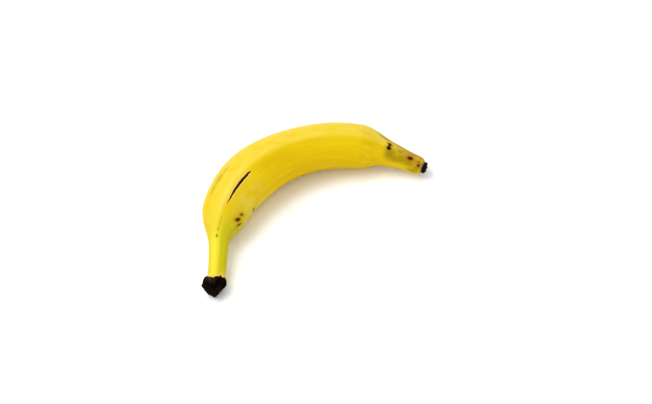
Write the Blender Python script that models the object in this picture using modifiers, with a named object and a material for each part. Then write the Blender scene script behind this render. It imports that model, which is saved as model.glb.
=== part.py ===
"""A ripe plantain, one whole fruit as it grew, lying on its side on a table.

Metres, +Z up. The origin is on the table, under the centre of the fruit's box, and +X runs along
the chord from the cut stem to the flower end. The fruit is a loft of five-sided rings with rounded
ridges, strung on a middle line made of arcs, under a Subdivision Surface. It is turned until it
rests on the three places that touch the table, which are then pressed flat.
"""

import math
from collections import namedtuple

import bmesh
import bpy
import numpy as np
from mathutils import Matrix, Vector
from mathutils.geometry import intersect_point_tri

# Lengths along the middle line, in order from the cut stem to the flower end.
CROWN_LENGTH = 0.016  # blackened end, left where the fruit was cut from its hand
STEM_LENGTH = 0.0314
SHOULDER_LENGTH = 0.031  # the stem widens into the fruit
BEND_LENGTH = 0.046  # on to the widest place
MIDDLE_LENGTH = 0.050
BELLY_LENGTH = 0.056
TAPER_LENGTH = 0.025  # the fruit narrows quickly
NOSE_LENGTH = 0.0300  # and runs out to its blunt flower end
NOSE_ROUNDING = 0.0060  # the nose's end closes in round the stub
SCAR_LENGTH = 0.0090  # dried stub of the flower, from the nose's edge

# How far the middle line turns over each length, in degrees, positive towards the inner side.
CROWN_END_TURN = -1.0
CROWN_TURN = -22.0  # the crown leans over where it meets the stem
STEM_TURN = -3.0
SHOULDER_TURN = 17.0
BEND_TURN = 28.0
MIDDLE_TURN = 28.0
BELLY_TURN = 26.0
TAPER_TURN = 15.0
NOSE_TURN = 2.0

# From the middle line to the middle of a flat face, at the end of each length.
CUT_RADIUS = 0.0078
CROWN_RADIUS = 0.0093
STEM_RADIUS = 0.0074
NECK_RADIUS = 0.0083
SHOULDER_RADIUS = 0.0195
BEND_RADIUS = 0.0233
MIDDLE_RADIUS = 0.0210
BELLY_RADIUS = 0.0193
TAPER_RADIUS = 0.0116
NOSE_RADIUS = 0.0080
SCAR_RADIUS = 0.0046

# How sharp the five ridges are (3 is a circle, 8 a crisp pentagon), and the angle of the upper
# ridge round the middle line, from the outer side of the curve towards the top, in degrees.
RIDGES = 5
STEM_SHARPNESS = 6.5
BODY_SHARPNESS = 6.0
NOSE_SHARPNESS = 5.0
STEM_RIDGE_ANGLE = 75.0
BODY_RIDGE_ANGLE = 94.0
NOSE_RIDGE_ANGLE = 87.0

# Two strokes of the knife went through the crown. They meet in an edge across it, beside the middle
# line on the inner side, which stands out past where the middle line starts.
CUT_EDGE_SIDE = 0.0045
CUT_EDGE_OUT = 0.0012
OUTER_SLANT = 9.0  # of the stroke on the outer side of the edge, in degrees
INNER_SLANT = 68.0

PRESSED_FLAT = 0.0004  # how deep the skin is pressed in where it rests

# The cage under the Subdivision Surface.
RING_POINTS = 20
RING_SPACING = 0.011
CAP_RINGS = (0.80, 0.45)  # shares of the end ring's radius
ROUNDING_STEPS = (30.0, 60.0, 90.0)  # where the rings of the nose's rounding lie on its quarter turn
SUBDIVISIONS = 1

TABLE_MARGIN = 0.02  # how far the cutter below the table reaches past the fruit

PEEL_COLOUR = (0.76, 0.53, 0.02, 1)
PEEL_ROUGHNESS = 0.45

# One row for each place where the fruit's shape changes, with the length and turn that lead to it.
Station = namedtuple("Station", "length turn radius sharpness ridge_angle")
STATIONS = (
    Station(0.0, 0.0, CUT_RADIUS, STEM_SHARPNESS, STEM_RIDGE_ANGLE),
    Station(CROWN_LENGTH / 2, CROWN_END_TURN, CROWN_RADIUS, STEM_SHARPNESS, STEM_RIDGE_ANGLE),
    Station(CROWN_LENGTH / 2, CROWN_TURN, STEM_RADIUS, STEM_SHARPNESS, STEM_RIDGE_ANGLE),
    Station(STEM_LENGTH, STEM_TURN, NECK_RADIUS, STEM_SHARPNESS, STEM_RIDGE_ANGLE),
    Station(SHOULDER_LENGTH, SHOULDER_TURN, SHOULDER_RADIUS, BODY_SHARPNESS, BODY_RIDGE_ANGLE),
    Station(BEND_LENGTH, BEND_TURN, BEND_RADIUS, BODY_SHARPNESS, BODY_RIDGE_ANGLE),
    Station(MIDDLE_LENGTH, MIDDLE_TURN, MIDDLE_RADIUS, BODY_SHARPNESS, BODY_RIDGE_ANGLE),
    Station(BELLY_LENGTH, BELLY_TURN, BELLY_RADIUS, BODY_SHARPNESS, BODY_RIDGE_ANGLE),
    Station(TAPER_LENGTH, TAPER_TURN, TAPER_RADIUS, BODY_SHARPNESS, BODY_RIDGE_ANGLE),
    Station(NOSE_LENGTH, NOSE_TURN, NOSE_RADIUS, NOSE_SHARPNESS, NOSE_RIDGE_ANGLE),
)
STATION_PLACES = np.cumsum([station.length for station in STATIONS])
FRUIT_LENGTH = STATION_PLACES[-1]


def clear_scene():
    for obj in list(bpy.data.objects):
        bpy.data.objects.remove(obj, do_unlink=True)


def new_collection(name):
    collection = bpy.data.collections.new(name)
    bpy.context.scene.collection.children.link(collection)
    return collection


def smooth_between(knots, values, place):
    """A curve through the values that never swings past them: a monotone cubic."""
    knots, values = np.asarray(knots, float), np.asarray(values, float)
    steps = np.diff(knots)
    slopes = np.diff(values) / steps
    tangents = np.zeros(len(knots))
    for i in range(1, len(knots) - 1):
        before, after = slopes[i - 1], slopes[i]
        if before * after > 0:
            tangents[i] = 2 * before * after / (before + after)
    i = int(np.clip(np.searchsorted(knots, place, side="right") - 1, 0, len(steps) - 1))
    t = min(max((place - knots[i]) / steps[i], 0.0), 1.0)
    return float(
        values[i] * (1 + 2 * t) * (1 - t) ** 2
        + tangents[i] * steps[i] * t * (1 - t) ** 2
        + values[i + 1] * t * t * (3 - 2 * t)
        + tangents[i + 1] * steps[i] * t * t * (t - 1)
    )


def station_value(field, place):
    return smooth_between(STATION_PLACES, [getattr(s, field) for s in STATIONS], place)


def heading(place):
    """Which way the middle line points, in radians. It turns evenly over each length, in arcs."""
    turned = np.cumsum([station.turn for station in STATIONS])
    return -math.radians(np.interp(place, STATION_PLACES, turned))


def middle_line(place, step=0.0005):
    """The point on the middle line this far from the cut. It lies in the XY plane."""
    count = max(1, math.ceil(abs(place) / step))
    middles = (np.arange(count) + 0.5) * place / count
    headings = np.array([heading(p) for p in middles])
    return Vector((np.cos(headings).sum(), np.sin(headings).sum(), 0.0)) * (place / count)


def face_to_skin(angle, ridge_angle, sharpness):
    """How far the skin is from the middle line at this angle, for a flat face at a distance of 1."""
    spacing = math.tau / RIDGES
    faces = [ridge_angle + (k + 0.5) * spacing for k in range(RIDGES)]
    return sum(max(0.0, math.cos(angle - face)) ** sharpness for face in faces) ** (-1 / sharpness)


def cut_depth(across):
    """How far back the cut lies at this distance from the middle line, positive to the outer side."""
    from_edge = across + CUT_EDGE_SIDE
    slant = OUTER_SLANT if from_edge > 0 else INNER_SLANT
    return abs(from_edge) * math.tan(math.radians(slant)) - CUT_EDGE_OUT


def ring(place, radius):
    """The cage's points round the middle line at this place, starting on the upper ridge."""
    along = Vector((math.cos(heading(place)), math.sin(heading(place)), 0.0))
    outward = Vector((-along.y, along.x, 0.0))
    upward = Vector((0.0, 0.0, 1.0))
    sharpness = station_value("sharpness", place)
    ridge_angle = math.radians(station_value("ridge_angle", place))
    on_crown = max(0.0, 1 - place / CROWN_LENGTH)
    points = []
    for i in range(RING_POINTS):
        angle = ridge_angle + math.tau * i / RING_POINTS
        reach = radius * face_to_skin(angle, ridge_angle, sharpness)
        across = reach * math.cos(angle)
        point = middle_line(place) + outward * across + upward * reach * math.sin(angle)
        points.append(point + along * cut_depth(across) * on_crown)
    return points


def skin_rings():
    """(place, radius) of each ring from the stem's cut to the nose, evenly spread over each length."""
    rings = [(0.0, CUT_RADIUS)]
    for start, station in zip(STATION_PLACES, STATIONS[1:]):
        count = max(2, round(station.length / RING_SPACING))
        places = [start + station.length * (i + 1) / count for i in range(count)]
        rings += [(place, station_value("radius", place)) for place in places]
    return rings


def cap_rings(place, radius):
    """Smaller rings that close an end, largest first."""
    return [(place, radius * share) for share in CAP_RINGS]


def scar_rings():
    """The blunt nose closes in to the dried stub of the flower, which stands out of it."""
    rings = []
    for degrees in ROUNDING_STEPS:
        turn = math.radians(degrees)
        radius = SCAR_RADIUS + (NOSE_RADIUS - SCAR_RADIUS) * math.cos(turn)
        rings.append((FRUIT_LENGTH + NOSE_ROUNDING * math.sin(turn), radius))
    tip = FRUIT_LENGTH + SCAR_LENGTH
    return rings + [(tip, SCAR_RADIUS)] + cap_rings(tip, SCAR_RADIUS)


def fruit_cage():
    """The cage as one closed mesh: every ring joined to the next, with a face over each end."""
    ends_and_skin = cap_rings(0.0, CUT_RADIUS)[::-1] + skin_rings() + scar_rings()
    bm = bmesh.new()
    loops = [[bm.verts.new(point) for point in ring(*size)] for size in ends_and_skin]
    for near, far in zip(loops, loops[1:]):
        for i in range(RING_POINTS):
            bm.faces.new((near[i], near[i - 1], far[i - 1], far[i]))
    bm.faces.new(loops[0])
    bm.faces.new(loops[-1])
    bmesh.ops.recalc_face_normals(bm, faces=bm.faces)
    mesh = bpy.data.meshes.new("plantain")
    bm.to_mesh(mesh)
    bm.free()
    return mesh


def evaluated_bmesh(obj):
    """A bmesh of the object with its modifiers."""
    bpy.context.view_layer.update()
    bm = bmesh.new()
    bm.from_object(obj, bpy.context.evaluated_depsgraph_get())
    return bm


def centre_of_mass(bm):
    bmesh.ops.triangulate(bm, faces=bm.faces)
    weighted, volume = Vector(), 0.0
    for face in bm.faces:
        a, b, c = (vert.co for vert in face.verts)
        share = a.dot(b.cross(c)) / 6
        weighted += share * (a + b + c) / 4
        volume += share
    return weighted / volume


def resting_turn(obj):
    """The turn that lays the fruit down on the three places that it rests on.

    They are a face of its hull, on the underside, that the centre of mass stands over.
    """
    bm = evaluated_bmesh(obj)
    centre = centre_of_mass(bm)
    hull = bmesh.ops.convex_hull(bm, input=bm.verts)["geom"]
    bm.normal_update()
    footings = [
        face.normal.copy()
        for face in hull
        if isinstance(face, bmesh.types.BMFace)
        and face.normal.z < 0
        and intersect_point_tri(centre, *(vert.co for vert in face.verts))
    ]
    bm.free()
    return min(footings, key=lambda normal: normal.z).rotation_difference(Vector((0, 0, -1)))


def lay_down(obj):
    """Rests the fruit on the table, with the chord along +X and the origin under its box."""
    turn = resting_turn(obj).to_matrix().to_4x4()
    chord = turn @ (middle_line(FRUIT_LENGTH + SCAR_LENGTH) - middle_line(0.0))
    turn = Matrix.Rotation(-math.atan2(chord.y, chord.x), 4, "Z") @ turn
    obj.data.transform(turn)
    bm = evaluated_bmesh(obj)
    corners = np.array([vert.co for vert in bm.verts])
    bm.free()
    low, high = corners.min(axis=0), corners.max(axis=0)
    middle = (low + high) / 2
    obj.data.transform(Matrix.Translation((-middle[0], -middle[1], -low[2] - PRESSED_FLAT)))
    return high - low


def table_cutter(box):
    """A slab whose top is the table. It takes away what is pressed in."""
    bpy.ops.mesh.primitive_cube_add(size=1, location=(0, 0, -TABLE_MARGIN / 2))
    table = bpy.context.object
    table.name = "table"
    for collection in list(table.users_collection):
        collection.objects.unlink(table)
    new_collection("cutters").objects.link(table)
    table.data.transform(Matrix.Diagonal((*(box[:2] + 2 * TABLE_MARGIN), TABLE_MARGIN, 1)))
    table.hide_render = True
    table.display_type = "WIRE"
    return table


def peel_material():
    material = bpy.data.materials.new("ripe peel")
    material.use_nodes = True
    shader = material.node_tree.nodes["Principled BSDF"]
    shader.inputs["Base Color"].default_value = PEEL_COLOUR
    shader.inputs["Roughness"].default_value = PEEL_ROUGHNESS
    shader.inputs["Metallic"].default_value = 0.0
    material.diffuse_color = PEEL_COLOUR
    return material


def build():
    clear_scene()
    plantain = bpy.data.objects.new("plantain", fruit_cage())
    new_collection("plantain").objects.link(plantain)
    plantain.data.materials.append(peel_material())
    plantain.data.shade_smooth()
    smoothing = plantain.modifiers.new("Rounded skin", "SUBSURF")
    smoothing.levels = SUBDIVISIONS
    smoothing.render_levels = SUBDIVISIONS
    box = lay_down(plantain)
    pressing = plantain.modifiers.new("Pressed flat where it rests", "BOOLEAN")
    pressing.operation = "DIFFERENCE"
    pressing.object = table_cutter(box)


build()
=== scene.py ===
"""The looks of a ripe plantain: its peel, the frayed cut of its crown and the dry rest of its flower.

The peel is one skin, swept along the fruit's middle line by Geometry Nodes. Its material is painted
in the fruit's own coordinates, as if the fruit were pulled out straight: how far along it a point is
from the cut, and where it lies round the middle line. The angle round it starts at the upper ridge.
"""

import functools
import math
from collections import namedtuple

import bpy
import numpy as np
from mathutils import Matrix, Vector


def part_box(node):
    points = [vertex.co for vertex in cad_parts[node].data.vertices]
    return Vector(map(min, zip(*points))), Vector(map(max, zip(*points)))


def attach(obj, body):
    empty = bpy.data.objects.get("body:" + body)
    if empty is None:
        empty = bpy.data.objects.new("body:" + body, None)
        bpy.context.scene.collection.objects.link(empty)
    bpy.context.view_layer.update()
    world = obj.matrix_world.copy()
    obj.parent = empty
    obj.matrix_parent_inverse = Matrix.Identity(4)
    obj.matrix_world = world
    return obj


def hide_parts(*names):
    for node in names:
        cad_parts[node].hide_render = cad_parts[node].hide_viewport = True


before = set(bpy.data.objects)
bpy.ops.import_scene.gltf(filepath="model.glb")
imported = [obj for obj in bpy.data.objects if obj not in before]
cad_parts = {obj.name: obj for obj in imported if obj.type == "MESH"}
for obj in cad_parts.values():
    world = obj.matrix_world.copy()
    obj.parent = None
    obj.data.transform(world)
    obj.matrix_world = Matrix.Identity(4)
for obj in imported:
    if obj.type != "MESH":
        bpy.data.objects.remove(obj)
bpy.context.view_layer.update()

# ---------------- the fruit's own dimensions, in metres

CROWN_LENGTH = 0.016
STEM_LENGTH = 0.0314
SHOULDER_LENGTH = 0.031
BEND_LENGTH = 0.046
MIDDLE_LENGTH = 0.050
BELLY_LENGTH = 0.056
TAPER_LENGTH = 0.025
NOSE_LENGTH = 0.0300
NOSE_ROUNDING = 0.0060
SCAR_LENGTH = 0.0090
SCAR_RADIUS = 0.0046

# Two strokes of the knife met in an edge across the crown, on the inner side of the middle line.
CUT_EDGE_SIDE = 0.0045
CUT_EDGE_OUT = 0.0012
OUTER_SLANT = 9.0
INNER_SLANT = 68.0

# One row for each place where the shape changes: the length and the turn in degrees that lead to it,
# the distance to a flat face, how sharp the ridges are, the upper ridge's angle round the middle
# line, and how far apart the skin's rings are on the way there.
Station = namedtuple("Station", "length turn radius sharpness ridge_angle spacing")
STATIONS = (
    Station(0.0, 0.0, 0.0078, 6.5, 75.0, 0.0004),
    Station(CROWN_LENGTH / 2, -1.0, 0.0093, 6.5, 75.0, 0.0004),
    Station(CROWN_LENGTH / 2, -22.0, 0.0074, 6.5, 75.0, 0.0004),
    Station(STEM_LENGTH, -3.0, 0.0083, 6.5, 75.0, 0.0006),
    Station(SHOULDER_LENGTH, 17.0, 0.0195, 6.0, 94.0, 0.0008),
    Station(BEND_LENGTH, 28.0, 0.0233, 6.0, 94.0, 0.0008),
    Station(MIDDLE_LENGTH, 28.0, 0.0210, 6.0, 94.0, 0.0009),
    Station(BELLY_LENGTH, 26.0, 0.0193, 6.0, 94.0, 0.0009),
    Station(TAPER_LENGTH, 15.0, 0.0116, 6.0, 94.0, 0.0008),
    Station(NOSE_LENGTH, 2.0, 0.0080, 5.0, 87.0, 0.0006),
)
STATION_PLACES = np.cumsum([station.length for station in STATIONS])
FRUIT_LENGTH = STATION_PLACES[-1]
TIP = FRUIT_LENGTH + SCAR_LENGTH
RIDGES = 5

# Which way is down for the fruit as it rests, before it is turned: its curve lies in the XY plane.
DOWN = Vector((-0.0936, -0.1512, -0.9841))
PRESSED_FLAT = 0.0004

POINTS_ROUND = 160
STUB_SPACING = 0.0003
END_RINGS = 16  # rings from the cut's rim to its middle
END_RING_SPAN = (0.03, 0.97)  # the innermost and the outermost of them, as shares of a quarter turn
ROUNDING_RINGS = 12
ANGLES_TRIED = 72  # round each ring, to find how far the skin reaches when it is laid down
FINE_STEP = 0.0002  # along the middle line, as its turns are added up
UPWARD = np.array([0, 0, 1.0])


# ---------------- small helpers for node trees

def put(socket, value):
    """Links a socket to an input, or sets the input to a plain value."""
    if isinstance(value, bpy.types.NodeSocket):
        socket.id_data.links.new(value, socket)
    else:
        socket.default_value = value


def node(tree, kind, *values, **settings):
    """A node with its settings, and its inputs given in order. None leaves an input as it is."""
    made = tree.nodes.new(kind)
    for name, value in settings.items():
        setattr(made, name, value)
    sockets = [socket for socket in made.inputs if socket.enabled]
    for socket, value in zip(sockets, values):
        if value is not None:
            put(socket, value)
    return made


def fill(made, **values):
    """Sets or links a node's inputs, each by its name in lower case. Returns the node."""
    for name, value in values.items():
        put(made.inputs[name.replace("_", " ").title()], value)
    return made


def first(made):
    """A node's first output that is in use."""
    return next(socket for socket in made.outputs if socket.enabled)


def tree_of(*values):
    """The tree that the first socket among the values is in, which is where a new node goes."""
    return next(value.id_data for value in values if isinstance(value, bpy.types.NodeSocket))


def maths(operation, *values):
    return node(tree_of(*values), "ShaderNodeMath", *values, operation=operation).outputs[0]


def vectors(operation, *values):
    return first(node(tree_of(*values), "ShaderNodeVectorMath", *values, operation=operation))


def product(*values):
    """All the values multiplied together."""
    return functools.reduce(lambda total, value: maths("MULTIPLY", total, value), values)


def total_of(*values):
    """All the values added up."""
    return functools.reduce(lambda total, value: maths("ADD", total, value), values)


def minus(value, taken_away):
    return maths("SUBTRACT", value, taken_away)


def largest(*values):
    return functools.reduce(lambda most, value: maths("MAXIMUM", most, value), values)


def vector_of(x, y, z):
    return node(tree_of(x, y, z), "ShaderNodeCombineXYZ", x, y, z).outputs[0]


def parts_of(vector):
    """The x, y and z of a vector."""
    return node(tree_of(vector), "ShaderNodeSeparateXYZ", vector).outputs


def ramp(value, low, high):
    """A smooth step from 0 to 1, as the value goes from low to high."""
    made = node(tree_of(value), "ShaderNodeMapRange", interpolation_type="SMOOTHSTEP")
    return fill(made, value=value, from_min=low, from_max=high).outputs[0]


def noise(vector, scale=1.0, detail=2.0):
    """Noise between about 0 and 1 at the vector."""
    made = node(tree_of(vector), "ShaderNodeTexNoise", noise_dimensions="3D")
    return fill(made, vector=vector, scale=scale, detail=detail, roughness=0.5).outputs[0]


# ---------------- the middle line

def smooth_between(knots, values, places):
    """A curve through the values that never swings past them: a monotone cubic."""
    knots, values, places = (np.asarray(list_, float) for list_ in (knots, values, places))
    steps = np.diff(knots)
    slopes = np.diff(values) / steps
    tangents = np.zeros(len(knots))
    for i in range(1, len(knots) - 1):
        before, after = slopes[i - 1], slopes[i]
        if before * after > 0:
            tangents[i] = 2 * before * after / (before + after)
    i = np.clip(np.searchsorted(knots, places, side="right") - 1, 0, len(steps) - 1)
    t = np.clip((places - knots[i]) / steps[i], 0.0, 1.0)
    return (
        values[i] * (1 + 2 * t) * (1 - t) ** 2
        + tangents[i] * steps[i] * t * (1 - t) ** 2
        + values[i + 1] * t * t * (3 - 2 * t)
        + tangents[i + 1] * steps[i] * t * t * (t - 1)
    )


def along_fruit(field, places):
    return smooth_between(STATION_PLACES, [getattr(s, field) for s in STATIONS], places)


def headings(places):
    """Which way the middle line points, in radians. It turns evenly over each length, in arcs."""
    turned = np.cumsum([station.turn for station in STATIONS])
    return -np.radians(np.interp(places, STATION_PLACES, turned))


def flat_line(places):
    """Points on the middle line, lying in the XY plane, at these distances from the cut."""
    fine = np.arange(0, places.max() + 2 * FINE_STEP, FINE_STEP)
    ways = headings(fine[:-1] + FINE_STEP / 2)
    xs = np.concatenate([[0], np.cumsum(np.cos(ways)) * FINE_STEP])
    ys = np.concatenate([[0], np.cumsum(np.sin(ways)) * FINE_STEP])
    return np.stack([np.interp(places, fine, xs), np.interp(places, fine, ys), 0 * places], axis=1)


def outward_and_ahead(places):
    """The ways across the middle line, to its outer side, and ahead along it, both in the XY plane."""
    ways = headings(places)
    outward = np.stack([-np.sin(ways), np.cos(ways), 0 * ways], axis=1)
    ahead = np.stack([np.cos(ways), np.sin(ways), 0 * ways], axis=1)
    return outward, ahead


def share_of_crown(places):
    """How much of the slant of the cut a ring takes: all of it at the cut, none past the crown."""
    return np.maximum(0, 1 - places / CROWN_LENGTH)


def ring_sizes():
    """(place, radius) of every ring of skin, from the middle of the cut to the middle of the stub."""
    rim = STATIONS[0].radius
    shares = np.sin(np.linspace(*END_RING_SPAN, END_RINGS) * math.pi / 2)
    sizes = [(0.0, rim * share) for share in shares] + [(0.0, rim)]
    for start, station in zip(STATION_PLACES, STATIONS[1:]):
        count = max(2, round(station.length / station.spacing))
        places = start + station.length * (np.arange(count) + 1) / count
        sizes += list(zip(places, along_fruit("radius", places)))
    nose = STATIONS[-1].radius
    for turn in np.linspace(0, math.pi / 2, ROUNDING_RINGS + 1)[1:]:
        radius = SCAR_RADIUS + (nose - SCAR_RADIUS) * math.cos(turn)
        sizes.append((FRUIT_LENGTH + NOSE_ROUNDING * math.sin(turn), radius))
    for place in np.arange(NOSE_ROUNDING + STUB_SPACING, SCAR_LENGTH, STUB_SPACING):
        sizes.append((FRUIT_LENGTH + place, SCAR_RADIUS))
    sizes += [(TIP, SCAR_RADIUS * share) for share in shares[::-1]]
    return np.array(sizes)


def section_reach(angles, ridge_angles, sharpness):
    """How far the skin is from the middle line, for a flat face at a distance of 1."""
    total = 0
    for k in range(RIDGES):
        face = ridge_angles + (k + 0.5) * math.tau / RIDGES
        total = total + np.maximum(0, np.cos(angles - face)) ** sharpness
    return total ** (-1 / sharpness)


def cut_depth(across):
    """How far back the cut lies at this distance from the middle line, positive to the outer side."""
    from_edge = across + CUT_EDGE_SIDE
    outer, inner = (math.tan(math.radians(slant)) for slant in (OUTER_SLANT, INNER_SLANT))
    return np.maximum(from_edge * outer, -from_edge * inner) - CUT_EDGE_OUT


def resting_place(places, radii):
    """The matrix that lays the flat fruit down where the frame's solid lies."""
    points = flat_line(places)
    outward, ahead = outward_and_ahead(places)
    turn = DOWN.normalized().rotation_difference(Vector((0, 0, -1))).to_matrix()
    chord = turn @ Vector(points[-1] - points[0])
    turn = Matrix.Rotation(-math.atan2(chord.y, chord.x), 3, "Z") @ turn
    ridge_angles = np.radians(along_fruit("ridge_angle", places))
    sharpness = along_fruit("sharpness", places)
    skin = []
    for angle in np.linspace(0, math.tau, ANGLES_TRIED, endpoint=False):
        reach = radii * section_reach(angle, ridge_angles, sharpness)
        across, up = reach * math.cos(angle), reach * math.sin(angle)
        forward = cut_depth(across) * share_of_crown(places)
        moves = ((outward, across), (ahead, forward), (UPWARD, up))
        skin.append(points + sum(way * amount[:, None] for way, amount in moves))
    skin = np.concatenate(skin) @ np.array(turn).T
    low, high = skin.min(axis=0), skin.max(axis=0)
    box_low, box_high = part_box("plantain")
    shift = Vector((box_low + box_high) / 2) - Vector((low + high) / 2)
    shift.z = box_low.z - low[2] - PRESSED_FLAT
    return Matrix.Translation(shift) @ turn.to_4x4()


def middle_line():
    """The middle line as a mesh, one point for each ring, holding what the sweep needs there."""
    places, radii = ring_sizes().T
    resting = resting_place(places, radii)
    turn = np.array(resting.to_3x3())
    points = flat_line(places) @ turn.T + np.array(resting.translation)
    outward, ahead = outward_and_ahead(places)
    mesh = bpy.data.meshes.new("middle line")
    mesh.vertices.add(len(places))
    mesh.vertices.foreach_set("co", points.ravel().astype(np.float32))
    for name, kind, field, values in (
        ("outward", "FLOAT_VECTOR", "vector", outward @ turn.T),
        ("along_way", "FLOAT_VECTOR", "vector", ahead @ turn.T),
        ("upward", "FLOAT_VECTOR", "vector", np.tile(turn @ UPWARD, (len(places), 1))),
        ("place", "FLOAT", "value", places),
        ("ring_radius", "FLOAT", "value", radii),
        ("sharpness", "FLOAT", "value", along_fruit("sharpness", places)),
        ("ridge_angle", "FLOAT", "value", np.radians(along_fruit("ridge_angle", places))),
        ("on_crown", "FLOAT", "value", share_of_crown(places)),
    ):
        attribute = mesh.attributes.new(name, kind, "POINT")
        attribute.data.foreach_set(field, values.ravel().astype(np.float32))
    return new_object("peel", mesh)


# ---------------- whole trees, objects and plain meshes

def new_tree(kind, name, inputs, outputs):
    """A node group with named sockets, (name, type, value) each, and its own inputs and outputs."""
    tree = bpy.data.node_groups.new(name, kind)
    for label, socket_type, value in inputs:
        made = tree.interface.new_socket(label, in_out="INPUT", socket_type="NodeSocket" + socket_type)
        if value is not None:
            made.default_value = value
    for label, socket_type in outputs:
        tree.interface.new_socket(label, in_out="OUTPUT", socket_type="NodeSocket" + socket_type)
    return tree, tree.nodes.new("NodeGroupInput").outputs, tree.nodes.new("NodeGroupOutput").inputs


def shape_tree(name, *inputs):
    """A Geometry Nodes tree: geometry in, geometry out."""
    geometry = ("Geometry", "Geometry")
    return new_tree("GeometryNodeTree", name, [geometry + (None,), *inputs], [geometry])


def finished(tree, given, leave, geometry):
    """The tree, ended in real geometry that has its material."""
    real = node(tree, "GeometryNodeRealizeInstances", geometry).outputs[0]
    coated = fill(node(tree, "GeometryNodeSetMaterial", real), material=given["Material"])
    put(leave["Geometry"], coated.outputs[0])
    return tree


def value_to_set(made):
    """The socket that takes the value, of the several that such a node has for other kinds."""
    return next(socket for socket in made.inputs if socket.name == "Value" and socket.enabled)


def new_object(name, data):
    """A new object in the scene."""
    obj = bpy.data.objects.new(name, data)
    bpy.context.scene.collection.objects.link(obj)
    return obj


def use_tree(obj, tree, **values):
    """Puts the tree on the object as a modifier, with its inputs set by name."""
    modifier = obj.modifiers.new(tree.name, "NODES")
    modifier.node_group = tree
    for item in tree.interface.items_tree:
        key = item.name.replace(" ", "_").lower()
        if item.in_out == "INPUT" and key in values:
            modifier[item.identifier] = values[key]


def make_plain(obj, name):
    """Gives the object its evaluated mesh as a plain mesh of its own, and drops its modifiers."""
    bpy.context.view_layer.update()
    evaluated = obj.evaluated_get(bpy.context.evaluated_depsgraph_get())
    mesh = bpy.data.meshes.new_from_object(evaluated)
    obj.modifiers.clear()
    obj.data = mesh
    mesh.name = name


# ---------------- the crack in the skin

# A dark crack runs along the upper ridge where the fruit starts to bend. It tapers both ways.
CRACK_START = 0.0775
CRACK_END = 0.118
CRACK_AROUND_START = 6.5  # degrees
CRACK_AROUND_END = 11.0
CRACK_SWING = 0.6  # below 1, it turns to its end's angle early on
CRACK_HALF_WIDTH = 0.0012
CRACK_LEAST_HALF_WIDTH = 0.00003
CRACK_TAPERS = (0.75, 0.42)  # how slender it is to its start and to its end
CRACK_FULLNESS = 2.1  # the two tapers multiplied stay under half, so this brings them near 1
PAST_THE_ENDS = 100.0
CRACK_HOLLOW = (1.1, 0.25)  # these four go from nothing to all, in half widths from its middle
CRACK_LIP = ((2.8, 1.5), (0.9, 1.5))
CRACK_PALE_RIM = (3.2, 1.4)
CRACK_DARK_LINE = (1.25, 0.75)
CRACK_LIP_HEIGHT = 0.25  # as a share of its depth


def crack_shares(place, around, reach, wobble):
    """How far a point is from the crack's middle, in half widths. It is far from it past its ends."""
    share = maths("DIVIDE", minus(place, CRACK_START), CRACK_END - CRACK_START)
    inside = maths("MINIMUM", largest(share, 0.0), 1.0)
    start, end = math.radians(CRACK_AROUND_START), math.radians(CRACK_AROUND_END)
    swing = product(maths("POWER", inside, CRACK_SWING), end - start)
    angle = total_of(start, swing)
    off = total_of(product(minus(around, angle), reach), wobble)
    rise = maths("POWER", inside, CRACK_TAPERS[0])
    fall = maths("POWER", minus(1.0, inside), CRACK_TAPERS[1])
    half_width = product(rise, fall, CRACK_FULLNESS * CRACK_HALF_WIDTH)
    half_width = total_of(half_width, CRACK_LEAST_HALF_WIDTH)
    far = maths("DIVIDE", maths("ABSOLUTE", off), half_width)
    outside = maths("GREATER_THAN", maths("ABSOLUTE", minus(share, 0.5)), 0.5)
    return total_of(far, product(outside, PAST_THE_ENDS))


# ---------------- the sweep

# Where each kind of unevenness fades in: from none at the first place to all at the second.
ROUGH_CROWN = (0.0155, 0.0105)
GROOVED_STEM = (0.070, 0.035)
GROOVED_END = (FRUIT_LENGTH - 0.014, FRUIT_LENGTH)
ROUGH_STUB = (FRUIT_LENGTH + 0.6 * NOSE_ROUNDING, FRUIT_LENGTH + NOSE_ROUNDING)
FRAYED_CUT = (0.0012, 0.0)
FRAYED_TIP = (TIP - 0.001, TIP)
CUT_FACE = (0.0006, 0.0)
END_GROOVES = 0.7  # how deep the flower end's grooves are, as a share of the stem's
CALM_MIDDLE = (0.0, 0.003)  # the skin is even where it is this near the middle line


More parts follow.
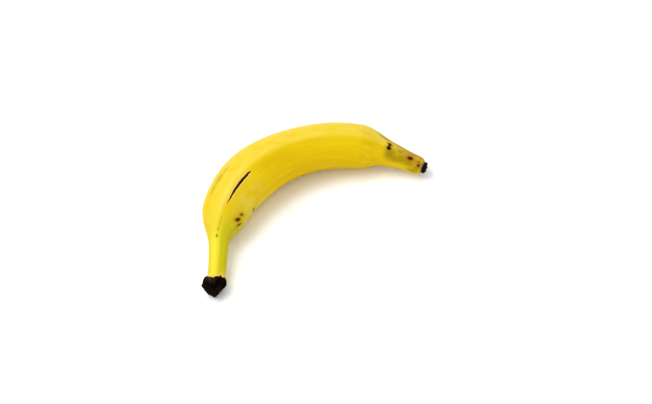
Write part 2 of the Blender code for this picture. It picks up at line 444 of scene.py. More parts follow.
def sweep_tree():
    """Sweeps the ridged section along the middle line and gives the skin its unevenness."""
    tree, given, leave = shape_tree(
        "Fruit Sweep",
        ("Points Round", "Int", POINTS_ROUND),
        ("Swelling", "Float", 0.0005),
        ("Dents", "Float", 0.00016),
        ("Fine Fibres", "Float", 0.00003),
        ("Stem Grooves", "Float", 0.00035),
        ("Crack Depth", "Float", 0.0004),
        ("Crown Roughness", "Float", 0.0011),
        ("Torn Fibre", "Float", 0.0013),
        ("Stub Roughness", "Float", 0.0006),
        ("Material", "Material", None),
    )
    line = given["Geometry"]
    rings = node(tree, "GeometryNodeAttributeDomainSize", line, component="MESH").outputs["Point Count"]
    tube = fill(
        node(tree, "GeometryNodeMeshCylinder", fill_type="TRIANGLE_FAN"),
        vertices=given["Points Round"], side_segments=minus(rings, 1.0), radius=1.0, depth=1.0)

    start = parts_of(node(tree, "GeometryNodeInputPosition").outputs[0])
    spoke = maths("ARCTAN2", start["Y"], start["X"])
    length_out = vectors("LENGTH", vector_of(start["X"], start["Y"], 0.0))
    share = total_of(start["Z"], 0.5)
    ring = maths("ROUND", product(share, minus(rings, 1.0)))

    def at_ring(value, kind="FLOAT"):
        """The middle line's value at this point's ring."""
        sample = node(tree, "GeometryNodeSampleIndex", data_type=kind, domain="POINT", clamp=True)
        put(value_to_set(sample), value)
        return first(fill(sample, geometry=line, index=ring))

    def named(name, kind="FLOAT"):
        return at_ring(first(node(tree, "GeometryNodeInputNamedAttribute", name, data_type=kind)), kind)

    place = named("place")
    sharpness = named("sharpness")
    faces = 0.0
    for k in range(RIDGES):
        lean = maths("COSINE", minus(spoke, (k + 0.5) * math.tau / RIDGES))
        faces = total_of(faces, maths("POWER", largest(lean, 0.0), sharpness))
    skin_reach = maths("POWER", faces, maths("DIVIDE", -1.0, sharpness))
    reach = product(named("ring_radius"), length_out, skin_reach)
    angle = total_of(spoke, named("ridge_angle"))

    # The cut's two strokes push the crown's rings back, less and less up to the crown's end.
    from_edge = total_of(product(reach, maths("COSINE", angle)), CUT_EDGE_SIDE)
    outer, inner = (math.tan(math.radians(slant)) for slant in (OUTER_SLANT, INNER_SLANT))
    depth = largest(product(from_edge, outer), product(from_edge, -inner))
    pushed = product(minus(depth, CUT_EDGE_OUT), named("on_crown"))
    along = total_of(place, pushed)

    def straightened(scale_along, scale_across):
        """The fruit pulled out straight, so that noise on it has no seam and follows its length."""
        y = product(reach, maths("COSINE", spoke), scale_across)
        z = product(reach, maths("SINE", spoke), scale_across)
        return vector_of(product(along, scale_along), y, z)

    def uneven(scale_along, scale_across, detail, amount):
        """Noise about zero, as high as the amount."""
        found = noise(straightened(scale_along, scale_across), detail=detail)
        return product(minus(found, 0.5), 2.0, amount)

    on_crown = ramp(along, *ROUGH_CROWN)
    on_stem = ramp(place, *GROOVED_STEM)
    on_end = ramp(place, *GROOVED_END)
    on_stub = ramp(place, *ROUGH_STUB)
    grooved = largest(on_stem, product(on_end, END_GROOVES))
    off_crack = crack_shares(place, spoke, reach, uneven(260.0, 260.0, 3.0, 0.00045))
    in_crack = ramp(off_crack, *CRACK_HOLLOW)
    lip = product(*[ramp(off_crack, *side) for side in CRACK_LIP])
    raised = total_of(
        uneven(26.0, 34.0, 1.0, given["Swelling"]),
        uneven(90.0, 120.0, 2.0, given["Dents"]),
        uneven(60.0, 1100.0, 2.0, given["Fine Fibres"]),
        uneven(45.0, 420.0, 2.0, product(given["Stem Grooves"], grooved)),
        uneven(230.0, 300.0, 4.0, product(given["Crown Roughness"], on_crown)),
        uneven(500.0, 900.0, 3.0, product(given["Stub Roughness"], on_stub)),
        product(in_crack, given["Crack Depth"], -1.0),
        product(lip, given["Crack Depth"], CRACK_LIP_HEIGHT),
    )
    raised = product(raised, ramp(reach, *CALM_MIDDLE))
    reach_out = total_of(reach, raised)
    across = product(reach_out, maths("COSINE", angle))
    up = product(reach_out, maths("SINE", angle))
    on_cut = ramp(place, *FRAYED_CUT)
    on_tip = ramp(place, *FRAYED_TIP)
    torn = uneven(0.0, 900.0, 4.0, product(given["Torn Fibre"], on_cut))
    worn = uneven(0.0, 1500.0, 3.0, product(given["Stub Roughness"], on_tip))
    forward = total_of(pushed, torn, worn)

    spot = at_ring(node(tree, "GeometryNodeInputPosition").outputs[0], "FLOAT_VECTOR")
    for name, amount in (("outward", across), ("upward", up), ("along_way", forward)):
        move = vectors("SCALE", named(name, "FLOAT_VECTOR"), amount)
        spot = vectors("ADD", spot, move)
    height = parts_of(spot)
    spot = vector_of(height["X"], height["Y"], largest(height["Z"], 0.0))

    skin = tube.outputs["Mesh"]
    for name, kind, value in (
        ("straight", "FLOAT_VECTOR", straightened(1.0, 1.0)),
        ("cut_face", "FLOAT", ramp(place, *CUT_FACE)),
        ("ring", "FLOAT", share),
    ):
        keep = node(tree, "GeometryNodeStoreNamedAttribute", skin, None, name, data_type=kind)
        put(value_to_set(keep), value)
        skin = keep.outputs[0]
    skin = node(tree, "GeometryNodeSetPosition", skin, None, spot).outputs[0]
    skin = node(tree, "GeometryNodeSetShadeSmooth", skin).outputs[0]
    return finished(tree, given, leave, skin)


# ---------------- shared effects of the material

def colour(red, green, blue):
    """A colour given as screen values from 0 to 255, made linear for a socket."""
    shares = [value / 255 for value in (red, green, blue)]
    return tuple(((v + 0.055) / 1.055) ** 2.4 if v > 0.04045 else v / 12.92 for v in shares) + (1.0,)


def use_group(group, straight, **values):
    """The outputs of a shared effect at this place on the fruit, with its other inputs given."""
    made = node(tree_of(straight), "ShaderNodeGroup", node_tree=group)
    return fill(made, straight=straight, **values).outputs


def blended(share, colour_below, colour_above):
    """The colour below, covered by the one above by this share."""
    mix = node(tree_of(share), "ShaderNodeMix", share, colour_below, colour_above, data_type="RGBA")
    return first(mix)


def place_group():
    """Where a point lies: along the fruit, round it, and how far from its middle line."""
    tree, given, leave = new_tree("ShaderNodeTree", "Place On Fruit", [
        ("Straight", "Vector", None)], [("Along", "Float"), ("Around", "Float"), ("Reach", "Float")])
    parts = parts_of(given["Straight"])
    put(leave["Along"], parts["X"])
    put(leave["Around"], maths("ARCTAN2", parts["Z"], parts["Y"]))
    put(leave["Reach"], vectors("LENGTH", vector_of(0.0, parts["Y"], parts["Z"])))
    return tree


def grain_group():
    """Noise drawn out along the fruit, with its contrast raised."""
    tree, given, leave = new_tree("ShaderNodeTree", "Long Grain", [
        ("Straight", "Vector", None), ("Scale Along", "Float", 50.0), ("Scale Across", "Float", 500.0),
        ("Detail", "Float", 2.0), ("Low", "Float", 0.35), ("High", "Float", 0.65),
    ], [("Mask", "Float")])
    stretch = vector_of(given["Scale Along"], given["Scale Across"], given["Scale Across"])
    drawn = vectors("MULTIPLY", given["Straight"], stretch)
    found = noise(drawn, detail=given["Detail"])
    put(leave["Mask"], ramp(found, given["Low"], given["High"]))
    return tree


def mark_group():
    """A ragged oval mark on the skin, and the wider stain round it."""
    tree, given, leave = new_tree("ShaderNodeTree", "Skin Mark", [
        ("Straight", "Vector", None), ("Along", "Float", 0.1), ("Around", "Float", 0.0),
        ("Half Length", "Float", 0.002), ("Half Width", "Float", 0.001), ("Tilt", "Float", 0.0),
        ("Softness", "Float", 0.3), ("Raggedness", "Float", 0.5), ("Grain", "Float", 900.0),
    ], [("Mask", "Float"), ("Stain", "Float")])
    turned = node(tree, "ShaderNodeVectorRotate", given["Straight"], rotation_type="X_AXIS")
    parts = parts_of(fill(turned, angle=product(given["Around"], -math.pi / 180)).outputs[0])
    reach = vectors("LENGTH", vector_of(0.0, parts["Y"], parts["Z"]))
    across = product(maths("ARCTAN2", parts["Z"], parts["Y"]), reach)
    ahead = minus(parts["X"], given["Along"])
    tilt = product(given["Tilt"], math.pi / 180)
    sine, cosine = maths("SINE", tilt), maths("COSINE", tilt)
    long_way = total_of(product(ahead, cosine), product(across, sine))
    short_way = minus(product(across, cosine), product(ahead, sine))
    oval = vector_of(
        maths("DIVIDE", long_way, given["Half Length"]),
        maths("DIVIDE", short_way, given["Half Width"]), 0.0)
    rough = minus(noise(given["Straight"], given["Grain"], 3.0), 0.5)
    off = total_of(vectors("LENGTH", oval), product(rough, given["Raggedness"], 2.0))
    far = total_of(1.0, given["Softness"])
    put(leave["Mask"], ramp(off, far, minus(1.0, given["Softness"])))
    put(leave["Stain"], ramp(off, 2.6, 0.6))
    return tree


def speck_group():
    """Small specks strewn over the skin, on a share of the cells of a Voronoi pattern."""
    tree, given, leave = new_tree("ShaderNodeTree", "Specks", [
        ("Straight", "Vector", None), ("Scale", "Float", 300.0), ("Size", "Float", 0.2),
        ("Share", "Float", 0.3), ("Stretch", "Float", 0.5),
    ], [("Mask", "Float")])
    drawn = vectors("MULTIPLY", given["Straight"], vector_of(given["Stretch"], 1.0, 1.0))
    cells = node(tree, "ShaderNodeTexVoronoi", drawn, None, given["Scale"], voronoi_dimensions="3D")
    draw = node(tree, "ShaderNodeSeparateColor", cells.outputs["Color"]).outputs
    kept = maths("LESS_THAN", draw[0], given["Share"])
    size = product(given["Size"], total_of(0.5, draw[1]))
    spot = ramp(cells.outputs["Distance"], size, product(size, 0.4))
    put(leave["Mask"], product(spot, kept))
    return tree


# ---------------- the peel's marks

# Where each mark lies: along the fruit and its half length and half width in millimetres, the angle
# round from the upper ridge and the tilt in degrees, then how strong, soft and ragged it is.
Mark = namedtuple("Mark", "along around half_length half_width tilt strength softness ragged")
DARK_MARKS = (
    (69.7, 56, 2.0, 1.7, 20, 0.90, 0.5, 0.5),
    (76.0, 54, 1.6, 1.2, 30, 0.60, 0.5, 0.6),
    (66.5, 73, 2.3, 1.1, 12, 0.75, 0.5, 0.6),
    (91.6, 78, 2.6, 1.5, -12, 0.90, 0.3, 0.5),
    (63.0, 77, 3.6, 0.3, 18, 0.45, 0.5, 0.6),
    (50.6, 7, 1.2, 1.0, 0, 0.60, 0.5, 0.4),
    (56.1, 9, 0.9, 0.6, 0, 0.50, 0.5, 0.4),
    (257.2, -27, 2.1, 1.8, 0, 1.00, 0.4, 0.5),
    (258.4, 0, 2.2, 1.7, 0, 1.00, 0.4, 0.5),
    (257.8, -13, 1.3, 2.6, 0, 0.95, 0.4, 0.5),
    (260.0, -18, 0.5, 1.5, 0, 0.65, 0.4, 0.5),
    (279.7, 9, 2.4, 1.5, 0, 1.00, 0.5, 0.5),
    (288.8, 33, 1.2, 1.2, 0, 0.90, 0.4, 0.6),
    (288.2, 12, 0.6, 1.3, 0, 0.60, 0.5, 0.6),
    (131.0, 148, 2.6, 1.0, 15, 0.80, 0.4, 0.6),
    (204.0, -112, 1.6, 1.2, 0, 0.80, 0.4, 0.5),
    (96.0, 196, 1.5, 1.1, 30, 0.70, 0.4, 0.5),
)
RUST_MARKS = (
    (69.9, 56, 3.2, 2.7, 10, 0.85, 0.6, 0.6),
    (76.0, 54, 2.7, 2.3, 20, 0.75, 0.6, 0.6),
    (73.0, 55, 6.0, 4.0, 6, 0.28, 0.8, 0.7),
    (67.5, 70, 3.4, 2.2, 10, 0.40, 0.7, 0.7),
    (269.2, -9, 2.7, 2.3, 0, 0.55, 0.6, 0.7),
    (271.5, -30, 1.8, 1.4, 0, 0.35, 0.6, 0.7),
    (279.2, 9, 4.3, 3.2, 0, 0.75, 0.7, 0.6),
    (286.2, 11, 2.3, 1.8, 40, 0.60, 0.5, 0.8),
    (287.7, 59, 2.4, 1.9, 20, 0.65, 0.5, 0.8),
    (289.2, 28, 1.8, 3.4, 0, 0.80, 0.5, 0.8),
    (288.6, -20, 1.2, 2.2, 0, 0.55, 0.5, 0.8),
    (284.0, -35, 1.6, 1.0, 0, 0.40, 0.5, 0.7),
    (168.0, -150, 5.5, 2.4, 12, 0.50, 0.6, 0.8),
    (271.0, 150, 3.0, 2.4, 0, 0.60, 0.6, 0.7),
    (249.0, -140, 3.6, 1.8, 0, 0.50, 0.6, 0.7),
)
OLIVE_MARKS = (
    (261.4, 23, 5.5, 5.0, 10, 0.95, 0.8, 0.6),
    (266.0, 38, 5.0, 3.2, 0, 0.80, 0.8, 0.6),
    (271.0, 32, 6.5, 3.2, 0, 0.80, 0.8, 0.6),
    (280.0, 42, 6.5, 3.2, 0, 0.75, 0.8, 0.5),
    (251.5, -56, 7.5, 3.0, 0, 0.80, 0.7, 0.4),
    (270.0, -60, 14.0, 2.6, 0, 0.75, 0.8, 0.4),
    (258.5, 2, 4.0, 4.0, 0, 0.35, 0.8, 0.5),
    (280.0, -30, 8.0, 3.6, 0, 0.70, 0.8, 0.5),
    (284.5, 82, 5.0, 3.0, 0, 0.75, 0.7, 0.4),
    (267.0, -160, 8.0, 5.0, 0, 0.60, 0.8, 0.5),
)
SCUFF_MARKS = (
    (90.5, -50, 5.0, 1.9, 4, 0.45, 0.8, 0.8),
    (99.8, -47, 5.0, 2.2, 0, 0.52, 0.8, 0.8),
    (109.0, -45, 4.0, 2.0, -6, 0.40, 0.8, 0.8),
    (110.0, -30, 1.8, 1.0, 30, 0.30, 0.6, 0.8),
    (62.5, 10, 4.5, 0.5, -4, 0.50, 0.6, 0.5),
    (61.0, 80, 4.0, 0.6, 20, 0.40, 0.6, 0.8),
    (150.0, 122, 9.0, 1.5, 6, 0.50, 0.6, 0.9),
    (212.0, 165, 6.0, 1.3, -8, 0.50, 0.6, 0.9),
    (84.0, -118, 5.0, 1.4, 0, 0.45, 0.6, 0.9),
)


# ---------------- the peel's material

RIPE = colour(223, 190, 6)
GOLDEN = colour(208, 171, 3)
# Wax bloom and painted sheen: a paler yellow for the faces that catch the light.
BLOOM_SHEEN_COLOUR = colour(225, 200, 60)
# Painted rim light: a pale, nearly white yellow for the upper edge of the body.
PAINTED_RIM_LIGHT = colour(218, 202, 106)
STREAK = colour(232, 203, 28)
LEMON = colour(208, 190, 40)
# Lemon of the neck, made brighter as a painted highlight for its lit ridge.
LEMON_RIDGE_HIGHLIGHT = colour(222, 209, 42)
GREENISH = colour(188, 179, 20)
PALE = colour(218, 194, 66)
OLIVE = colour(152, 126, 6)
NOSE_OLIVE = colour(186, 158, 16)
SCUFF = colour(158, 134, 52)
RUST = colour(164, 84, 14)
DARK = colour(50, 20, 6)
CRACK_DARK = colour(46, 22, 9)
CRACK_RIM = colour(232, 200, 104)
BLUSH = colour(238, 188, 92)
CROWN_BLACK = colour(8, 6, 5)
CROWN_BROWN = colour(66, 44, 36)
# Painted highlight: the pale colour of the crown's glints.
CROWN_GLINT = colour(150, 140, 136)
TORN_BROWN = colour(44, 31, 24)
STUB_GREY = colour(150, 134, 100)
STUB_DARK = colour(30, 20, 15)

# Stretches of the skin. Each pair goes from where the stretch isn't at all to where it is in full:
# along the fruit in metres, and round it in radians from the upper ridge.
Region = namedtuple("Region", "along around", defaults=((),))
# Painted shade: the lower faces of the body, painted a deeper golden where the fruit lies in its own shade.
SHADED_LOWER_FACES = Region([(0.110, 0.165)], [(0.30, 1.0)])
# Wax bloom and painted sheen: the upper outer faces, painted paler where light glances off them.
UPPER_SHEEN_FACES = Region([], [(0.12, -0.10), (-3.0, -1.8)])
# Painted rim light: the faces along the upper edge of the body, painted paler as if lit from behind.
RIM_LIT_FACE = Region([(0.085, 0.160)], [(-0.70, -1.10), (-2.2, -1.5)])
SHOULDER = Region([(0.050, 0.072), (0.135, 0.095)], [(0.2, 0.7), (2.4, 1.6)])
NEAR_STEM = Region([(0.080, 0.038)])
# Painted highlight: the neck's upper ridge and the face beside it, painted a brighter lemon where light
# falls.
LIT_STEM_RIDGE = Region([(0.080, 0.038)], [(0.62, 0.30), (-0.9, -0.2)])
STEM_INNER_FACES = Region([(0.096, 0.052)], [(0.25, 0.75), (3.1, 2.2)])
NEAR_NOSE = Region([(0.250, 0.272)], [(1.25, 0.75)])
BEFORE_TAPER = Region([(0.240, 0.200)])

# What is laid over the ripe yellow: by what share, and how far the mottling breaks it up.
Tint = namedtuple("Tint", "colour region share mottling", defaults=(None,))
TINTS = (
    # Painted rim light along the upper edge of the body.
    Tint(PAINTED_RIM_LIGHT, RIM_LIT_FACE, 0.60),
    Tint(PALE, SHOULDER, 0.80, (-0.3, 1.0)),
    Tint(LEMON, NEAR_STEM, 0.85),
    # Lemon of the neck with a painted highlight on its ridge.
    Tint(LEMON_RIDGE_HIGHLIGHT, LIT_STEM_RIDGE, 1.0),
    Tint(GREENISH, STEM_INNER_FACES, 1.0, (-1.0, 0.6)),
    Tint(NOSE_OLIVE, NEAR_NOSE, 1.0, (-1.0, 0.9)),
)
BLOOM_SHEEN_MOTTLING = (-0.8, 1.0)
RUST_MOTTLING = (-0.8, 0.8)
# Painted highlight: a pale band along the upper ridge, where light catches it.
RIDGE_HIGHLIGHT_AROUND = -0.06  # radians from the upper ridge
RIDGE_HIGHLIGHT_SPREAD = (0.22, 0.04)

BLACK_EDGE = 0.0088  # how far the black of the crown reaches, at the least
BLACK_LEAST_AROUND = -0.14  # where that is, in radians from the upper ridge
BLACK_EDGE_RISE = 0.0040  # how much farther it reaches round the sides
BLACK_RISE_AROUND = (0.25, 0.75)
BLACK_TEETH = 0.0075
BLACK_SOFTNESS = (0.0003, -0.0004)
BLACK_PAST_CUT = 0.0040
BLUSH_REACH = (0.0042, 0.0005)
PEELED_CROWN = ((0.0022, 0.0060), (0.9, 0.2))
STUB_RAGGEDNESS = 0.0016
STUB_RING = (0.0020, 0.0009)  # past the stub's radius
STUB_DARK_FROM = (FRUIT_LENGTH + NOSE_ROUNDING + 0.0005, FRUIT_LENGTH + NOSE_ROUNDING + 0.0009)

WAXY_ROUGHNESS = 0.36
DRY_ROUGHNESS = 0.44
WAX_COAT = 0.12
WAX_COAT_ROUGHNESS = 0.32
BUMP_STRENGTH = 0.35
BUMP_DISTANCE = 0.0004


class Skin:
    """The peel's colour as it is painted on, with where a point lies and the effects that repeat."""

    def __init__(self, tree):
        self.straight = node(tree, "ShaderNodeAttribute", attribute_name="straight").outputs["Vector"]
        self.cut_face = node(tree, "ShaderNodeAttribute", attribute_name="cut_face").outputs["Fac"]
        spot = use_group(place_group(), self.straight)
        self.along, self.around, self.reach = spot["Along"], spot["Around"], spot["Reach"]
        self.grain, self.mark, self.speck = grain_group(), mark_group(), speck_group()
        self.fibres = self.grained(28.0, 900.0, 0.3, 0.7)
        self.mottle = self.grained(75.0, 120.0, 0.3, 0.7, 4.0)
        self.colour = RIPE

    def grained(self, scale_along, scale_across, low, high, detail=2.0):
        return use_group(self.grain, self.straight, scale_along=scale_along,
                         scale_across=scale_across, low=low, high=high, detail=detail)["Mask"]

    def specks(self, scale, size, share, stretch=0.5):
        return use_group(self.speck, self.straight, scale=scale, size=size, share=share,
                         stretch=stretch)["Mask"]

    def stretched_noise(self, scale_along, scale_across, detail=3.0):
        stretch = (scale_along, scale_across, scale_across)
        return noise(vectors("MULTIPLY", self.straight, stretch), 1.0, detail)

    def wavering(self, scale_along, scale_across, amount):
        """Noise about zero, within half the amount both ways."""
        found = self.stretched_noise(scale_along, scale_across)
        return product(minus(found, 0.5), amount)

    def within(self, region):
        shares = [ramp(self.along, *span) for span in region.along]
        shares += [ramp(self.around, *span) for span in region.around]
        return product(*shares)

    def from_ridge(self, angle):
        """How far round the fruit a point is from this angle, either way."""
        return maths("ABSOLUTE", minus(self.around, angle))

    def marked(self, rows):
        """The masks of all these marks together, and of the stains round them."""
        mask, stain = 0.0, 0.0
        for mark in (Mark(*row) for row in rows):
            found = use_group(
                self.mark, self.straight, along=mark.along / 1000, around=mark.around,
                half_length=mark.half_length / 1000, half_width=mark.half_width / 1000,
                tilt=mark.tilt, softness=mark.softness, raggedness=mark.ragged)
            mask = largest(mask, product(found["Mask"], mark.strength))
            stain = largest(stain, product(found["Stain"], mark.strength))
        return mask, stain

    def paint(self, colour, *shares):
        """Covers the skin with a colour, by the product of these shares."""
        self.colour = blended(product(*shares), self.colour, colour)


def paint_ripeness(skin):
    """Ripe yellow, golden in clouds and, as painted shade, on the lower faces; pale with wax bloom and
    painted sheen on the upper outer ones, with a painted highlight along the upper ridge and a painted rim
    light; lemon and green towards the stem, its ridge brightened as a painted highlight, and olive towards
    the flower end."""
    clouds = product(skin.grained(22.0, 40.0, 0.35, 0.65, 1.0), 0.55)
    # Golden clouds are the peel's own tone; golden on the lower faces is painted shade.
    skin.paint(GOLDEN, largest(clouds, product(skin.within(SHADED_LOWER_FACES), 0.70)))
    skin.paint(GOLDEN, skin.fibres, 0.22)
    skin.paint(STREAK, skin.grained(16.0, 230.0, 0.48, 0.66, 3.0), 0.32)
    # Pale wax bloom in part, and in part painted sheen on the upper outer faces.
    bloom_and_sheen = product(skin.within(UPPER_SHEEN_FACES), ramp(skin.mottle, *BLOOM_SHEEN_MOTTLING))
    skin.paint(BLOOM_SHEEN_COLOUR, bloom_and_sheen, 0.70)
    for tint in TINTS:
        broken = [ramp(skin.mottle, *tint.mottling)] if tint.mottling else []
        skin.paint(tint.colour, skin.within(tint.region), tint.share, *broken)
    # Painted highlight: a pale band laid along the upper ridge, up to the taper.
    ridge_highlight = ramp(skin.from_ridge(RIDGE_HIGHLIGHT_AROUND), *RIDGE_HIGHLIGHT_SPREAD)
    skin.paint(BLOOM_SHEEN_COLOUR, ridge_highlight, skin.within(BEFORE_TAPER), 0.35)
    return bloom_and_sheen, ridge_highlight


def paint_marks(skin):
    """Wear along the ridges, small specks all over, and the chosen marks."""
    on_ridge = ramp(maths("COSINE", product(skin.around, float(RIDGES))), 0.20, 1.0)
    worn = product(on_ridge, skin.grained(70.0, 260.0, 0.52, 0.78, 3.0), 0.14)
    skin.paint(SCUFF, worn)
    skin.paint(SCUFF, skin.specks(260.0, 0.16, 0.22), 0.20)
    skin.paint(RUST, skin.specks(95.0, 0.055, 0.12, 0.8), 0.55)
    skin.paint(OLIVE, skin.marked(OLIVE_MARKS)[0])
    scuffed, _ = skin.marked(SCUFF_MARKS)
    skin.paint(SCUFF, scuffed)
    skin.paint(RUST, skin.marked(RUST_MARKS)[0], ramp(skin.mottle, *RUST_MOTTLING))
    dark, stain = skin.marked(DARK_MARKS)
    skin.paint(RUST, stain, 0.28)
    skin.paint(DARK, dark)
    return worn, scuffed, dark


def paint_crack(skin):
    """A pale rim, then the dark line."""
    wobble = skin.wavering(260.0, 260.0, 0.0009)
    off_crack = crack_shares(skin.along, skin.around, skin.reach, wobble)
    skin.paint(CRACK_RIM, ramp(off_crack, *CRACK_PALE_RIM), 0.55)
    in_crack = ramp(off_crack, *CRACK_DARK_LINE)
    skin.paint(CRACK_DARK, in_crack)
    return in_crack


def past_black_edge(skin):
    """How far a point lies past the toothed edge of the crown's black, in metres."""
    teeth = skin.wavering(60.0, 420.0, BLACK_TEETH)
    rise = ramp(skin.from_ridge(BLACK_LEAST_AROUND), *BLACK_RISE_AROUND)
    edge = total_of(BLACK_EDGE, product(rise, BLACK_EDGE_RISE), teeth)
    # Where the inner stroke cut far back, the black reaches past its rim.
    angle = total_of(skin.around, math.radians(STATIONS[0].ridge_angle))
    back = total_of(product(skin.reach, maths("COSINE", angle)), CUT_EDGE_SIDE)
    back = product(back, -math.tan(math.radians(INNER_SLANT)))
    past_cut = total_of(back, BLACK_PAST_CUT - CUT_EDGE_OUT, product(teeth, 0.5))
    return minus(skin.along, largest(edge, past_cut))


def paint_crown(skin):
    """The crown is black, brown where its skin peels and on the torn cut, with pale specks painted as
    glints and a blush past its edge.
    """
    past_edge = past_black_edge(skin)
    skin.paint(BLUSH, ramp(past_edge, *BLUSH_REACH), 0.6)
    black = ramp(past_edge, *BLACK_SOFTNESS)
    grain = skin.grained(150.0, 520.0, 0.42, 0.68, 5.0)
    peeled_along, peeled_around = PEELED_CROWN
    peeled = product(ramp(skin.along, *peeled_along),
                     ramp(skin.from_ridge(BLACK_LEAST_AROUND), *peeled_around))
    peeled = product(peeled, total_of(grain, 0.35), 0.75)
    brown = largest(product(grain, 0.12), peeled)
    crown = blended(brown, CROWN_BLACK, CROWN_BROWN)
    # Painted highlights: pale specks on the black crown stand in for glints; the same specks also get a
    # glossy coat.
    glints = skin.specks(760.0, 0.30, 0.24, 1.0)
    crown = blended(product(glints, 0.75), crown, CROWN_GLINT)
    torn = product(skin.cut_face, skin.grained(900.0, 900.0, 0.40, 0.66, 4.0), 0.75)
    skin.paint(blended(torn, crown, TORN_BROWN), black)
    return black, grain, glints


def paint_stub(skin):
    """A pale ring where the dry stub leaves the nose, then nearly black."""
    ragged = skin.wavering(700.0, 700.0, STUB_RAGGEDNESS)
    past_nose = ramp(skin.along, FRUIT_LENGTH, FRUIT_LENGTH + 0.5 * NOSE_ROUNDING)
    from_stub = total_of(skin.reach, -SCAR_RADIUS, ragged)
    skin.paint(STUB_GREY, ramp(from_stub, *STUB_RING), past_nose, 0.8)
    on_stub = ramp(total_of(skin.along, ragged), *STUB_DARK_FROM)
    skin.paint(STUB_DARK, on_stub)
    return on_stub


def new_material(name):
    """A new material and its Principled shader."""
    material = bpy.data.materials.new(name)
    material.use_nodes = True
    return material, material.node_tree.nodes["Principled BSDF"]


def peel_material():
    """Waxy ripe peel: golden and mottled, with painted shade, sheen and highlights, greener at both ends,
    marked, black at the crown.
    """
    material, shader = new_material("ripe peel")
    tree = material.node_tree
    skin = Skin(tree)
    bloom_and_sheen, ridge_highlight = paint_ripeness(skin)
    worn, scuffed, dark = paint_marks(skin)
    in_crack = paint_crack(skin)
    black, crown_grain, glints = paint_crown(skin)
    on_stub = paint_stub(skin)
    put(shader.inputs["Base Color"], skin.colour)

    # Waxy skin, duller where it is marked, dry and uneven at both ends.
    dry = largest(black, on_stub)
    spoiled = largest(dark, in_crack, product(scuffed, 0.6))
    waxy_rough = total_of(
        WAXY_ROUGHNESS, product(skin.mottle, 0.10), product(skin.fibres, 0.05),
        product(spoiled, 0.25), product(worn, 0.3))
    dry_rough = total_of(DRY_ROUGHNESS, product(crown_grain, 0.30), product(skin.cut_face, 0.15))
    rough = total_of(product(waxy_rough, minus(1.0, dry)), product(dry_rough, dry))
    put(shader.inputs["Roughness"], rough)
    shader.inputs["Specular IOR Level"].default_value = 0.0
    sound = minus(1.0, largest(dry, spoiled))
    wax = total_of(WAX_COAT, product(bloom_and_sheen, 0.22), product(ridge_highlight, 0.10))
    put(shader.inputs["Coat Weight"], total_of(product(sound, wax), product(glints, black)))
    shader.inputs["Coat Roughness"].default_value = WAX_COAT_ROUGHNESS

    pores = noise(skin.straight, 1600.0, 2.0)
    long_fibres = skin.stretched_noise(90.0, 1500.0)
    wrinkles = skin.stretched_noise(500.0, 1100.0, 5.0)
    height = total_of(
        product(pores, 0.10), product(long_fibres, 0.22),
        product(wrinkles, dry, 3.0), product(spoiled, -0.6))
    bump = fill(
        node(tree, "ShaderNodeBump"), strength=BUMP_STRENGTH, distance=BUMP_DISTANCE, height=height)
    put(shader.inputs["Normal"], bump.outputs[0])
    return material


# ---------------- frayed ends

FIBRE_DROOP = 0.45  # how far a fibre's tip bends over, as a share of its length
FIBRE_LENGTHS = (0.35, 1.2)  # the shortest and the longest, as shares of the length asked for


def frayed_tree():
    """Dry fibres that stand out of one stretch of the skin. They are all that is left of the mesh."""
    tree, given, leave = shape_tree(
        "Frayed Ends",
        ("From", "Float", 0.0),
        ("To", "Float", 0.001),
        ("Only On Cut", "Bool", False),
        ("Per Square Metre", "Float", 300000.0),
        ("Length", "Float", 0.0018),
        ("Thickness", "Float", 0.00012),
        ("Lean", "Float", 0.7),
        ("Seed", "Int", 3),
        ("Material", "Material", None),
    )
    straight = first(node(tree, "GeometryNodeInputNamedAttribute", "straight", data_type="FLOAT_VECTOR"))
    along = parts_of(straight)["X"]
    on_cut = first(node(tree, "GeometryNodeInputNamedAttribute", "cut_face", data_type="FLOAT"))
    past_start = maths("GREATER_THAN", along, given["From"])
    before_end = maths("LESS_THAN", along, given["To"])
    anywhere = minus(1.0, given["Only On Cut"])
    wanted = product(past_start, before_end, largest(on_cut, anywhere))
    strewn = fill(
        node(tree, "GeometryNodeDistributePointsOnFaces", distribute_method="RANDOM"),
        mesh=given["Geometry"], density=product(given["Per Square Metre"], wanted), seed=given["Seed"])

    fibre = fill(
        node(tree, "GeometryNodeMeshCone", fill_type="TRIANGLE_FAN"),
        vertices=4, side_segments=3, fill_segments=1, radius_top=0.25, radius_bottom=1.0, depth=1.0)
    x, y, z = parts_of(node(tree, "GeometryNodeInputPosition").outputs[0])
    thin = maths("DIVIDE", given["Thickness"], given["Length"])
    droop = product(z, z, FIBRE_DROOP)
    bent = vector_of(total_of(product(x, thin), droop), product(y, thin), z)
    fibre = node(tree, "GeometryNodeSetPosition", fibre.outputs["Mesh"], None, bent).outputs[0]

    def random(kind, low, high, step):
        made = node(tree, "FunctionNodeRandomValue", data_type=kind)
        put(next(s for s in made.inputs if s.name == "Min" and s.enabled), low)
        put(next(s for s in made.inputs if s.name == "Max" and s.enabled), high)
        return first(fill(made, seed=total_of(given["Seed"], step)))

    anyhow = random("FLOAT_VECTOR", (-1.0, -1.0, -1.0), (1.0, 1.0, 1.0), 11.0)
    way = vectors("ADD", strewn.outputs["Normal"], vectors("SCALE", anyhow, given["Lean"]))
    turn = fill(node(tree, "FunctionNodeAlignRotationToVector", axis="Z"), vector=way)
    placed = fill(
        node(tree, "GeometryNodeInstanceOnPoints"), points=strewn.outputs["Points"], instance=fibre,
        rotation=turn.outputs[0], scale=product(given["Length"], random("FLOAT", *FIBRE_LENGTHS, 5.0)))
    return finished(tree, given, leave, placed.outputs[0])


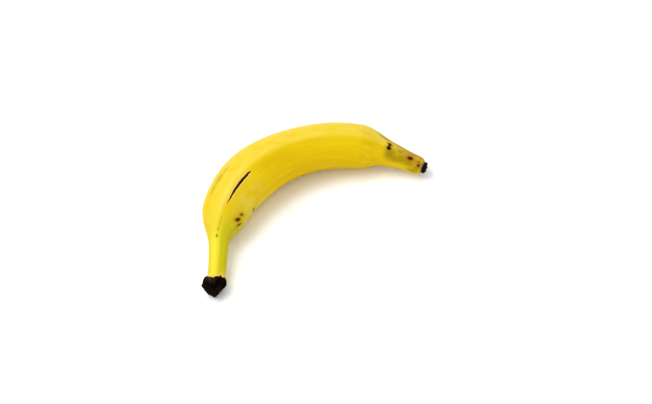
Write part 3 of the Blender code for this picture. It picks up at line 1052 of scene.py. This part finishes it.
def dry_fibre_material():
    """Dead, nearly black fibre with browner streaks."""
    material, shader = new_material("dry fibre")
    where = node(material.node_tree, "ShaderNodeTexCoord").outputs["Object"]
    streaks = ramp(noise(where, 900.0, 3.0), 0.40, 0.65)
    put(shader.inputs["Base Color"], blended(streaks, CROWN_BLACK, TORN_BROWN))
    put(shader.inputs["Roughness"], total_of(0.6, product(streaks, 0.2)))
    shader.inputs["Specular IOR Level"].default_value = 0.05
    return material


# ---------------- the pieces

MAP_EDGE = 0.01  # left free round the unrolled skin


def lay_out_map(peel):
    """Unrolls the skin into a map: its rings from side to side, the angle round it from top to bottom."""
    mesh = peel.data
    corners = np.empty(len(mesh.loops), np.int32)
    mesh.loops.foreach_get("vertex_index", corners)
    faces = np.repeat(np.arange(len(mesh.polygons)), [face.loop_total for face in mesh.polygons])
    straight = np.empty(len(mesh.vertices) * 3, np.float32)
    mesh.attributes["straight"].data.foreach_get("vector", straight)
    straight = straight.reshape(-1, 3)[corners]
    ring = np.empty(len(mesh.vertices), np.float32)
    mesh.attributes["ring"].data.foreach_get("value", ring)
    across, up = straight[:, 1], straight[:, 2]
    counts = np.bincount(faces)
    middle = np.arctan2(np.bincount(faces, up) / counts, np.bincount(faces, across) / counts)[faces]
    # Each corner's angle is taken from its face's own middle, so that no face spans the whole map.
    off = np.arctan2(up, across) - middle
    off = (off + math.pi) % math.tau - math.pi
    off = np.where(np.hypot(across, up) < 1e-6, 0.0, off)
    layer = mesh.uv_layers.new(name="OFBake")
    places = np.stack([ring[corners], (middle + off) / math.tau + 0.5], axis=1)
    places = MAP_EDGE + (1 - 2 * MAP_EDGE) * places
    layer.uv.foreach_set("vector", places.astype(np.float32).ravel())


def build_peel():
    peel = middle_line()
    use_tree(peel, sweep_tree(), material=peel_material())
    make_plain(peel, "peel")
    lay_out_map(peel)
    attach(peel, "root")
    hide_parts("plantain")
    return peel


def build_frayed_ends(peel):
    """The torn fibres of the cut, and the dry shreds of the flower on the stub."""
    tree, material = frayed_tree(), dry_fibre_material()
    for name, settings in (
        ("crown_fibres", dict(to=CROWN_LENGTH, only_on_cut=True, per_square_metre=900000.0, length=0.0013)),
        ("flower_shreds", {"from": TIP - 0.0022, "to": TIP + 0.01, "per_square_metre": 1500000.0,
                           "length": 0.0014, "thickness": 0.00016, "seed": 8}),
    ):
        fibres = new_object(name, peel.data.copy())
        use_tree(fibres, tree, material=material, **settings)
        make_plain(fibres, name)
        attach(fibres, "root")


# ---------------- table, light and camera

TABLE_SIZE = 6.0
TABLE_ROUGHNESS = 0.7
WHITE = (1.0, 1.0, 1.0, 1.0)
SKY_STRENGTH = 0.86
SOFTBOX_PLACE = Vector((-0.32, 0.34, 1.1))  # from the middle of the fruit
SOFTBOX_SIZE = 0.9
SOFTBOX_POWER = 8.8
CAMERA_LENS = 85.0
CAMERA_DISTANCE = 1.371
CAMERA_AZIMUTH = -23.1
CAMERA_ELEVATION = 50.2
CAMERA_ROLL = -11.3
CAMERA_AIM = Vector((0.0162, -0.0356, 0.0220))


def build_table():
    bpy.ops.mesh.primitive_plane_add(size=TABLE_SIZE)
    table = bpy.context.object
    table.name = "table_top"
    material, shader = new_material("white table")
    shader.inputs["Base Color"].default_value = WHITE
    shader.inputs["Roughness"].default_value = TABLE_ROUGHNESS
    table.data.materials.append(material)


def build_softbox():
    """A square soft light that faces the fruit."""
    light = bpy.data.lights.new("overhead softbox", "AREA")
    light.shape = "SQUARE"
    light.size = SOFTBOX_SIZE
    light.energy = SOFTBOX_POWER
    middle = sum(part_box("plantain"), Vector()) / 2
    lamp = new_object("overhead softbox", light)
    lamp.location = middle + SOFTBOX_PLACE
    lamp.rotation_euler = (-SOFTBOX_PLACE).to_track_quat("-Z", "Y").to_euler()


def build_sky():
    world = bpy.data.worlds.new("studio")
    bpy.context.scene.world = world
    world.use_nodes = True
    sky = world.node_tree.nodes["Background"]
    sky.inputs["Color"].default_value = WHITE
    sky.inputs["Strength"].default_value = SKY_STRENGTH
    bpy.context.scene.view_settings.view_transform = "Standard"


def build_camera():
    camera = bpy.data.cameras.new("camera")
    camera.lens = CAMERA_LENS
    camera.dof.use_dof = False
    tripod = new_object("camera", camera)
    azimuth, elevation = math.radians(CAMERA_AZIMUTH), math.radians(CAMERA_ELEVATION)
    towards = Vector((
        math.sin(azimuth) * math.cos(elevation),
        -math.cos(azimuth) * math.cos(elevation),
        math.sin(elevation),
    ))
    facing = towards.to_track_quat("Z", "Y").to_matrix()
    roll = Matrix.Rotation(math.radians(CAMERA_ROLL), 3, "Z")
    tripod.matrix_world = (
        Matrix.Translation(CAMERA_AIM + towards * CAMERA_DISTANCE) @ (facing @ roll).to_4x4()
    )
    bpy.context.scene.camera = tripod


build_frayed_ends(build_peel())
build_table()
build_softbox()
build_sky()
build_camera()
